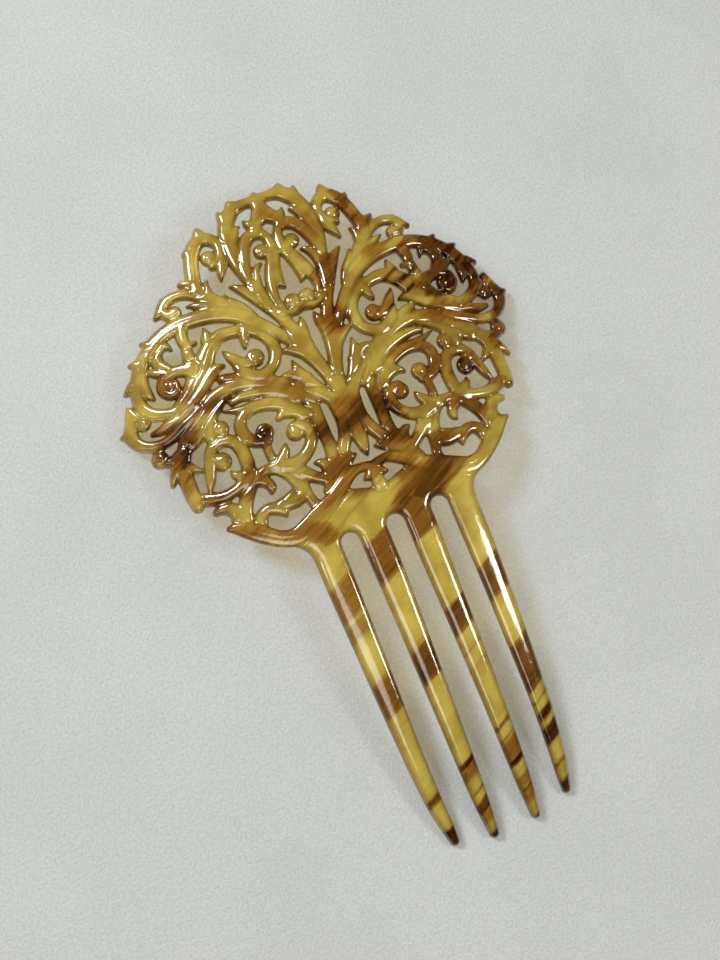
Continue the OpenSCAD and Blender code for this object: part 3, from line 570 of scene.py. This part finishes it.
def comb_surface():
    """Flat vertices, quads, value slopes and fields of the whole comb."""
    depth, relief = carve()
    hs = np.arange(-1.5 * CELL_H, SHEET_T + 1.5 * CELL_H, CELL_H)
    values = solid_value(depth[:, :, None], relief[:, :, None], hs)[0]
    grid, quads = surface_net(values.astype(np.float32))
    flat = np.stack([xs[0] + grid[:, 0] * CELL, ys[0] + grid[:, 1] * CELL,
                     hs[0] + grid[:, 2] * CELL_H], 1)
    slopes_of = [np.gradient(f, CELL) for f in (depth, relief)]

    def slopes(p):
        x, y, h = p.T
        d, r = sampled(depth, x, y), sampled(relief, x, y)
        value, by_depth, by_relief, by_h = solid_value(d, r, h)
        (dx, dy), (rx, ry) = [[sampled(g, x, y) for g in pair] for pair in slopes_of]
        return value, np.stack([by_depth * dx + by_relief * rx,
                                by_depth * dy + by_relief * ry, by_h], 1), d, r

    # pull the net's vertices onto the true surface, each staying near its own cell
    start = flat.copy()
    for _ in range(PULLS):
        value, slope, _, _ = slopes(flat)
        size = np.maximum((slope**2).sum(1), LEAST_SLOPE)
        flat -= (value / size)[:, None] * slope * PULL_SHARE
        flat = start + np.clip(flat - start, -PULL_REACH, PULL_REACH)
    _, slope, d, r = slopes(flat)
    return flat, quads, slope, d, r


# ---------------------------------------------------------------- where the sheet is brown
# Brown streaks cross the sheet at this angle to its width, rising to the right
STREAK_ANGLE = math.radians(26)
# Straight streaks: across-streak range, x range, and how dark
STREAKS = [
    # first tine
    (-13.6, -4.2, -30, -12.6, 0.5), (-18.8, -14.8, -30, -12.6, 0.4),
    (-38.4, -29.6, -30, -12.6, 0.7), (-63.8, -61.4, -30, -12.6, 0.95),
    (-78.0, -70.6, -30, -12.6, 0.95),
    # second tine
    (-13.6, -3.2, -12.6, 0.6, 0.68), (-31.4, -30.6, -12.6, 0.6, 0.35),
    (-40.4, -32.0, -12.6, 0.6, 0.8), (-63.4, -61.2, -12.6, 0.6, 1.0),
    (-66.4, -62.8, -12.6, 0.6, 0.6), (-70.1, -69.4, -12.6, 0.6, 0.6),
    (-75.2, -71.8, -12.6, 0.6, 1.0), (-78.2, -74.6, -12.6, 0.6, 0.5),
    (-83.5, -80.4, -12.6, 0.6, 0.9),
    # third tine
    (-13.6, -1.6, 0.6, 13.4, 0.68), (-38.2, -30.6, 0.6, 13.4, 0.75),
    (-43.2, -42.6, 0.6, 13.4, 0.5), (-47.6, -47.0, 0.6, 13.4, 0.4),
    (-63.8, -62.6, 0.6, 13.4, 0.8), (-66.9, -66.2, 0.6, 13.4, 1.0),
    (-71.6, -66.6, 0.6, 13.4, 0.65), (-72.9, -71.0, 0.6, 13.4, 1.0),
    (-79.4, -75.6, 0.6, 13.4, 0.5), (-79.9, -79.0, 0.6, 13.4, 0.9),
    (-83.3, -79.6, 0.6, 13.4, 0.55), (-90.0, -86.5, 0.6, 13.4, 0.95),
    # fourth tine
    (-39.4, -30.4, 13.4, 30, 0.75), (-64.0, -50.6, 13.4, 30, 0.8),
    (-67.0, -66.2, 13.4, 30, 0.8), (-71.2, -68.8, 13.4, 30, 1.0),
    (-77.6, -73.0, 13.4, 30, 1.0), (-83.6, -82.4, 13.4, 30, 0.8),
    (-91.6, -86.4, 13.4, 30, 0.9),
    # spine
    (5.0, 6.2, -14, 4, 0.35), (9.5, 11.0, -26, -10, 0.4), (14.0, 15.0, -36, -20, 0.5),
    # striped leaf beside the dark lobe
    (33.6, 35.2, 18, 34, 0.95), (36.8, 38.8, 18, 36, 0.95), (40.4, 42.0, 20, 38, 0.95),
    (44.0, 45.4, 24, 40, 0.9), (47.4, 48.6, 26, 40, 0.8),
]
# Soft-edged brown regions of the crest: points with radii, and how dark
REGIONS = [
    ([(3, -3, 4), (10, 0, 6), (17, 5, 6), (24, 10, 4)], 0.8),
    ([(-34, 3, 3), (-24, 3, 4), (-14, 7, 4), (-6, 10, 3)], 0.55),
    ([(37, 62, 5), (42, 58, 9), (47, 57, 9), (51, 51, 5), (36, 51, 4)], 1.0),
    ([(52, 46, 5), (57, 43, 5), (52, 37, 4), (49, 33, 3)], 0.9),
    ([(30, 46, 3), (38, 45, 4), (46, 42, 4)], 0.65),
    ([(18, 36, 3), (27, 34, 4), (24, 27, 4)], 0.65),
    ([(36, 27, 5)], 0.9), ([(42, 24, 3), (46, 18, 2)], 0.5),
    ([(-8, 24, 4), (0, 25, 5), (8, 27, 5), (10, 18, 4), (3, 13, 4)], 0.85),
    ([(1, 54, 3), (7, 50, 3), (7, 60, 4), (12, 68, 4)], 0.75),
    ([(14, 57, 2), (20, 63, 2), (26, 67, 2)], 0.45),
    ([(0, 88, 2), (4, 82, 3), (10, 80, 3), (8, 73, 4)], 0.45),
    ([(22, 84, 3), (24, 77, 4)], 0.8),
    ([(-42, 52, 4)], 0.85), ([(-38, 47, 2), (-32, 47, 3), (-26, 49, 2)], 0.7),
    ([(-50, 40, 3), (-47, 33, 5), (-44, 39, 4), (-36, 42, 3), (-28, 43, 2)], 0.9),
    ([(-46, 27, 3), (-41, 24, 2)], 0.6),
    ([(-20, 41, 2), (-12, 42, 3), (-10, 37, 2)], 0.55),
    ([(-23, 30, 3), (-27, 26, 3)], 0.95),
    ([(-42, 17, 3), (-34, 19, 3), (-26, 16, 3)], 0.75),
    ([(-14, 14, 3), (-6, 13, 4)], 0.7),
    ([(-42, 9, 3), (-32, 3, 3), (-20, 1, 4)], 0.6),
    ([(-6, 7, 3), (4, 8, 3), (14, 9, 4), (18, 6, 4)], 0.65),
    ([(14, 26, 3)], 0.7), ([(30, 19, 3), (34, 14, 3), (28, 9, 2)], 0.7),
    ([(16, 49, 2.5), (22, 52, 2.2)], 0.65), ([(40, 12, 2), (44, 9, 2)], 0.4),
]


# Above this line the streaks end softly, below it sharply: growth of their depth per millimetre
SPINE_Y = -7.0
SOFT_END, SHARP_END = 0.3, 3
# The same growth for a region
SOFT = 0.3
# Wobble of the streaks and of the regions, in millimetres: its size, the length of its waves
STREAK_WOBBLE, STREAK_WAVE = 0.35, 16
REGION_WOBBLE, REGION_WAVE = 0.5, 9
# The depth far from any brown, the largest depth kept, and the darkness where none is given
FAR_OUTSIDE, DEEPEST, PLAIN_DARK = -9.0, 6, 0.6


def across(x, y):
    """Distance across the brown streaks."""
    return y * math.cos(STREAK_ANGLE) - x * math.sin(STREAK_ANGLE)


def wander(x, y, size, seed):
    """A slow, smooth wobble between -1 and 1 over lengths of about size."""
    rng = np.random.default_rng(seed)
    total = np.zeros_like(x)
    for _ in range(6):
        angle, phase = rng.uniform(0, 2 * math.pi, 2)
        k = 2 * math.pi / (size * rng.uniform(0.7, 1.6))
        total += np.sin(k * (x * math.cos(angle) + y * math.sin(angle)) + phase)
    return total / 3


def brown_field(x, y):
    """How far inside a brown area each point is, in millimetres, and how dark that area is."""
    s = across(x, y) + STREAK_WOBBLE * wander(x, y, STREAK_WAVE, 1)
    inside = np.full_like(x, FAR_OUTSIDE)
    dark = np.full_like(x, PLAIN_DARK)
    for low, high, left, right, strength in STREAKS:
        ends = np.minimum(x - left, right - x) * np.where(y > SPINE_Y, SOFT_END, SHARP_END)
        d = np.minimum(np.minimum(s - low, high - s), ends)
        dark = np.where(d > inside, strength, dark)
        inside = np.maximum(inside, d)
    slow = REGION_WOBBLE * wander(x, y, REGION_WAVE, 2)
    for points, strength in REGIONS:
        line = smooth_line(points, 1.0)
        for px, py, r in line:
            d = SOFT * (r - np.hypot(x - px, y - py)) + slow
            dark = np.where(d > inside, strength, dark)
            inside = np.maximum(inside, d)
    return np.clip(inside, -DEEPEST, DEEPEST), dark


# ---------------------------------------------------------------- node helpers
class Nodes:
    """Short calls for building one material."""

    def __init__(self, name):
        self.material = bpy.data.materials.new(name)
        self.material.use_nodes = True
        self.tree = self.material.node_tree
        self.tree.nodes.clear()

    def add(self, kind, **settings):
        node = self.tree.nodes.new("ShaderNode" + kind)
        for key, value in settings.items():
            setattr(node, key, value)
        return node

    def put(self, socket, value):
        if isinstance(value, bpy.types.NodeSocket):
            self.tree.links.new(value, socket)
        else:
            socket.default_value = value

    def math(self, operation, *values):
        node = self.add("Math", operation=operation)
        for socket, value in zip(node.inputs, values):
            self.put(socket, value)
        return node.outputs[0]

    def smooth(self, value, low, high, to_low=0.0, to_high=1.0):
        node = self.add("MapRange", interpolation_type="SMOOTHSTEP")
        for socket, v in zip(node.inputs, (value, low, high, to_low, to_high)):
            self.put(socket, v)
        return node.outputs[0]

    def mix(self, share, a, b, blend="MIX"):
        node = self.add("Mix", data_type="RGBA", blend_type=blend)
        self.put(node.inputs["Factor"], share)
        self.put(node.inputs["A"], a)
        self.put(node.inputs["B"], b)
        return node.outputs["Result"]

    def noise(self, vector, scale, detail=2.0, rough=0.5):
        node = self.add("TexNoise")
        self.put(node.inputs["Vector"], vector)
        node.inputs["Scale"].default_value = scale
        node.inputs["Detail"].default_value = detail
        node.inputs["Roughness"].default_value = rough
        return node.outputs["Fac"]

    def attribute(self, name):
        return self.add("Attribute", attribute_name=name).outputs["Fac"]

    def millimetres(self, turn=0.0, stretch=(1, 1, 1)):
        """Object coordinates in millimetres, turned in the plane and scaled."""
        first = self.add("Mapping")
        self.put(first.inputs["Vector"], self.add("TexCoord").outputs["Object"])
        first.inputs["Rotation"].default_value = (0, 0, turn)
        first.inputs["Scale"].default_value = (1000, 1000, 1000)
        second = self.add("Mapping")
        self.put(second.inputs["Vector"], first.outputs[0])
        second.inputs["Scale"].default_value = stretch
        return second.outputs[0]

    def bump(self, height, strength, distance, normal=None):
        node = self.add("Bump")
        node.inputs["Strength"].default_value = strength
        node.inputs["Distance"].default_value = distance
        self.put(node.inputs["Height"], height)
        if normal is not None:
            self.put(node.inputs["Normal"], normal)
        return node.outputs[0]

    def output(self, shader):
        self.put(self.add("OutputMaterial").inputs["Surface"], shader)
        return self.material


def colour(r, g, b):
    """Linear colour from a screen colour of 0 to 255."""
    return tuple((c / 255 / 12.92) if c < 11 else ((c / 255 + 0.055) / 1.055) ** 2.4
                 for c in (r, g, b)) + (1.0,)


# Screen colours of the plastic
PALE_YELLOW, DEEP_YELLOW = colour(207, 188, 91), colour(178, 156, 65)
STREAKED_YELLOW, WARM_YELLOW = colour(140, 104, 40), colour(146, 116, 42)
UMBER, DARK_UMBER = colour(148, 104, 32), colour(56, 25, 7)
WISP_UMBER, LIGHT_UMBER = colour(70, 34, 9), colour(158, 108, 36)
SPECK = colour(70, 38, 16)
# Linear tints: of the painted shade along edges and in hollows, of light that passes the sheet, and
# near the floor
PAINTED_SHADE_TINT = (0.34, 0.23, 0.09, 1)
PASSED_TINT = (0.98, 0.93, 0.78, 1)
CONTACT_TINT = (0.36, 0.34, 0.29, 1)
# Screen colours of the paper under the comb
PAPER_LIGHT, PAPER_DARK = colour(190, 192, 190), colour(184, 186, 184)
PAPER_GRAIN = colour(160, 161, 159)


def celluloid():
    """Tortoiseshell celluloid from the mesh's brown and dark values, with shade painted along its
    edges and in its hollows from the edge and relief values.
    """
    n = Nodes("celluloid_look")
    plain = n.millimetres()
    streaks = n.millimetres(-STREAK_ANGLE, (0.06, 0.9, 0.9))
    wisps = n.millimetres(-STREAK_ANGLE, (0.15, 2.6, 2.6))
    clouds = n.noise(plain, 0.11, 2.0)
    streak = n.noise(streaks, 0.5, 3.0, 0.55)
    wisp = n.noise(wisps, 0.5, 2.0, 0.6)
    # how brown: the depth inside the brown areas, with wispy edges along the streaks
    wobble = n.math("MULTIPLY_ADD", streak, 1.8, -0.9)
    wobble = n.math("MULTIPLY_ADD", wisp, 0.8, wobble)
    inside = n.math("ADD", n.attribute("brown"), n.math("ADD", wobble, -0.35))
    brown = n.smooth(inside, -0.3, 0.35)
    shade = n.smooth(inside, 0.0, 1.2, 0.6, 1.0)
    dark = n.math("MULTIPLY", n.attribute("dark"), shade)
    brown = n.math("MULTIPLY", brown, n.smooth(dark, 0.1, 0.62, 0.35, 1.0))
    yellow = n.mix(n.smooth(clouds, 0.35, 0.7), PALE_YELLOW, DEEP_YELLOW)
    yellow = n.mix(n.smooth(streak, 0.45, 0.8, 0, 0.35), yellow, STREAKED_YELLOW)
    # the carved crest is a warmer, browner yellow than the plain tines
    place = n.add("SeparateXYZ")
    n.put(place.inputs[0], plain)
    crest = n.smooth(place.outputs["Y"], -4.0, 16.0)
    warm = n.math("MULTIPLY", crest, n.smooth(clouds, 0.3, 0.65, 0.15, 0.7))
    yellow = n.mix(warm, yellow, WARM_YELLOW)
    umber = n.mix(n.smooth(dark, 0.5, 0.95), UMBER, DARK_UMBER)
    umber = n.mix(n.smooth(wisp, 0.4, 0.7, 0, 0.5), umber, WISP_UMBER)
    umber = n.mix(n.smooth(streak, 0.42, 0.62, 0.3, 0.0), umber, LIGHT_UMBER)
    base = n.mix(brown, yellow, umber)
    # painted shade: darker and redder near an edge and in a hollow of the relief
    edge = n.smooth(n.attribute("edge"), 0.1, 1.2, 0.85, 0.0)
    hollow_shade = n.smooth(n.attribute("relief"), 1.6, 3.1, 1.0, 0.0)
    painted_shade_colour = n.mix(1.0, base, PAINTED_SHADE_TINT, "MULTIPLY")
    base = n.mix(n.math("MAXIMUM", edge, hollow_shade), base, painted_shade_colour)
    # specks and scratches in the polish
    speck = n.add("TexVoronoi")
    n.put(speck.inputs["Vector"], plain)
    speck.inputs["Scale"].default_value = 0.55
    dot = n.smooth(speck.outputs["Distance"], 0.05, 0.12, 1.0, 0.0)
    base = n.mix(n.math("MULTIPLY", dot, 0.3), base, SPECK)
    scratch = n.noise(n.millimetres(0.9, (0.2, 9, 9)), 1.0, 2.0)
    scratch = n.smooth(scratch, 0.66, 0.74)
    ripple = n.noise(plain, 0.35, 2.0)
    normal = n.bump(ripple, 0.25, 0.0004)
    normal = n.bump(n.math("ADD", scratch, dot), 0.12, 0.0001, normal)
    bsdf = n.add("BsdfPrincipled")
    n.put(bsdf.inputs["Base Color"], base)
    n.put(bsdf.inputs["Roughness"], n.smooth(scratch, 0, 1, 0.13, 0.3))
    bsdf.inputs["IOR"].default_value = 1.5
    n.put(bsdf.inputs["Transmission Weight"], n.math("MULTIPLY_ADD", brown, -0.2, 0.38))
    bsdf.inputs["Subsurface Weight"].default_value = 0.6
    bsdf.inputs["Subsurface Radius"].default_value = (1.0, 0.7, 0.2)
    bsdf.inputs["Subsurface Scale"].default_value = 0.0008
    bsdf.inputs["Coat Weight"].default_value = 1.0
    bsdf.inputs["Coat Roughness"].default_value = 0.085
    n.put(bsdf.inputs["Normal"], normal)
    # light goes on through the sheet, tinted, so its shadow isn't black; less near the tips
    through = n.add("BsdfTransparent")
    passed = n.mix(0.7, base, PASSED_TINT)
    near_floor = n.smooth(place.outputs["Y"], -88.0, -30.0, 1.0, 0.0)
    n.put(through.inputs["Color"], n.mix(near_floor, passed, CONTACT_TINT))
    split = n.add("MixShader")
    n.put(split.inputs[0], n.add("LightPath").outputs["Is Shadow Ray"])
    n.put(split.inputs[1], bsdf.outputs[0])
    n.put(split.inputs[2], through.outputs[0])
    return n.output(split.outputs[0])


def paper():
    """Matt paper with a fine grain."""
    n = Nodes("backdrop_look")
    plain = n.millimetres()
    grain = n.noise(plain, 1.3, 4.0, 0.65)
    mottle = n.noise(plain, 0.02, 2.0)
    tone = n.mix(n.smooth(mottle, 0.3, 0.7), PAPER_LIGHT, PAPER_DARK)
    tone = n.mix(n.smooth(grain, 0.35, 0.65, 0.0, 0.45), tone, PAPER_GRAIN)
    bsdf = n.add("BsdfPrincipled")
    n.put(bsdf.inputs["Base Color"], tone)
    bsdf.inputs["Roughness"].default_value = 0.7
    bsdf.inputs["Specular IOR Level"].default_value = 0.3
    n.put(bsdf.inputs["Normal"], n.bump(grain, 0.5, 0.0008))
    return n.output(bsdf.outputs[0])


# ---------------------------------------------------------------- the comb
def add_comb():
    """The whole comb as one mesh, in the place of every CAD node."""
    flat, quads, slopes, depth, relief = comb_surface()
    mesh = bpy.data.meshes.new("comb_sheet")
    mesh.vertices.add(len(flat))
    mesh.vertices.foreach_set("co", bent(flat).astype(np.float32).ravel())
    mesh.loops.add(quads.size)
    mesh.loops.foreach_set("vertex_index", quads.astype(np.int32).ravel())
    mesh.polygons.add(len(quads))
    mesh.polygons.foreach_set("loop_start", np.arange(0, quads.size, 4, dtype=np.int32))
    mesh.update(calc_edges=True)
    mesh.polygons.foreach_set("use_smooth", np.ones(len(quads), bool))
    mesh.normals_split_custom_set_from_vertices(bent_normals(flat, slopes).tolist())
    brown, dark = brown_field(flat[:, 0], flat[:, 1])
    # the edge and relief values give the material its painted shade along edges and in hollows
    for name, values in (("brown", brown), ("dark", dark), ("edge", depth), ("relief", relief)):
        layer = mesh.attributes.new(name, "FLOAT", "POINT")
        layer.data.foreach_set("value", np.asarray(values, np.float32))
    mesh.materials.append(celluloid())
    comb = bpy.data.objects.new("comb_sheet", mesh)
    bpy.context.scene.collection.objects.link(comb)
    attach(comb, "root")
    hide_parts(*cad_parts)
    return comb


# ---------------------------------------------------------------- floor, light and camera
# Side of the square floor, and the distance at which the camera stops seeing, in metres
FLOOR = 8.0
SIGHT = 10.0


def add_floor():
    mesh = bpy.data.meshes.new("backdrop")
    h = FLOOR / 2
    mesh.from_pydata([(-h, -h, 0), (h, -h, 0), (h, h, 0), (-h, h, 0)], [], [(0, 1, 2, 3)])
    mesh.materials.append(paper())
    floor = bpy.data.objects.new("backdrop", mesh)
    bpy.context.scene.collection.objects.link(floor)


# Each lamp's place, width and height in metres, power in watts and tint, all aimed at AIM
AIM = (0.0, 0.0, 0.01)
LAMPS = {
    "key_left": ((-0.5, 0.65, 0.78), (0.28, 0.28), 10.6, (0.97, 0.99, 1.0)),
    "side_left": ((-0.62, -0.04, 0.44), (0.08, 0.2), 0.28, (1.0, 0.99, 0.96)),
    "key_right": ((0.46, -0.20, 0.55), (0.17, 0.17), 2.0, (1.0, 0.96, 0.84)),
    "overhead": ((-0.5, -0.35, 1.0), (0.5, 0.5), 2.7, (1.0, 0.97, 0.94)),
}
WORLD_TONE, WORLD_STRENGTH = (0.97, 0.98, 1.0, 1.0), 0.335


def add_light(name, place, size, power, tint):
    data = bpy.data.lights.new(name, "AREA")
    data.shape, data.size, data.size_y = "RECTANGLE", size[0], size[1]
    data.energy, data.color = power, tint
    light = bpy.data.objects.new(name, data)
    light.location = place
    light.rotation_euler = (Vector(AIM) - Vector(place)).to_track_quat("-Z", "Y").to_euler()
    bpy.context.scene.collection.objects.link(light)


def add_world():
    world = bpy.data.worlds.new("studio")
    world.use_nodes = True
    background = world.node_tree.nodes["Background"]
    background.inputs["Color"].default_value = WORLD_TONE
    background.inputs["Strength"].default_value = WORLD_STRENGTH
    # the room is dark in the gloss, as in the photograph: only the lamps are mirrored
    world.cycles_visibility.glossy = False
    bpy.context.scene.world = world


# The photograph's viewing angle: the camera's place in millimetres, and its right and up
CAMERA_PLACE = (-53.86, -17.03, 310.57)
CAMERA_RIGHT = (0.91297, -0.39030, 0.11897)
CAMERA_UP = (0.37354, 0.91680, 0.14123)
CAMERA_LENS = 42.0


def add_camera():
    data = bpy.data.cameras.new("camera")
    data.lens = CAMERA_LENS
    data.clip_start, data.clip_end = 0.01, SIGHT
    camera = bpy.data.objects.new("camera", data)
    right, up = Vector(CAMERA_RIGHT).normalized(), Vector(CAMERA_UP)
    back = right.cross(up).normalized()
    up = back.cross(right)
    turn = Matrix((right, up, back)).transposed().to_4x4()
    camera.matrix_world = Matrix.Translation(Vector(CAMERA_PLACE) * MM) @ turn
    bpy.context.scene.collection.objects.link(camera)
    bpy.context.scene.camera = camera


add_comb()
add_floor()
for lamp, settings in LAMPS.items():
    add_light(lamp, *settings)
add_world()
bpy.context.scene.view_settings.view_transform = "Standard"
add_camera()
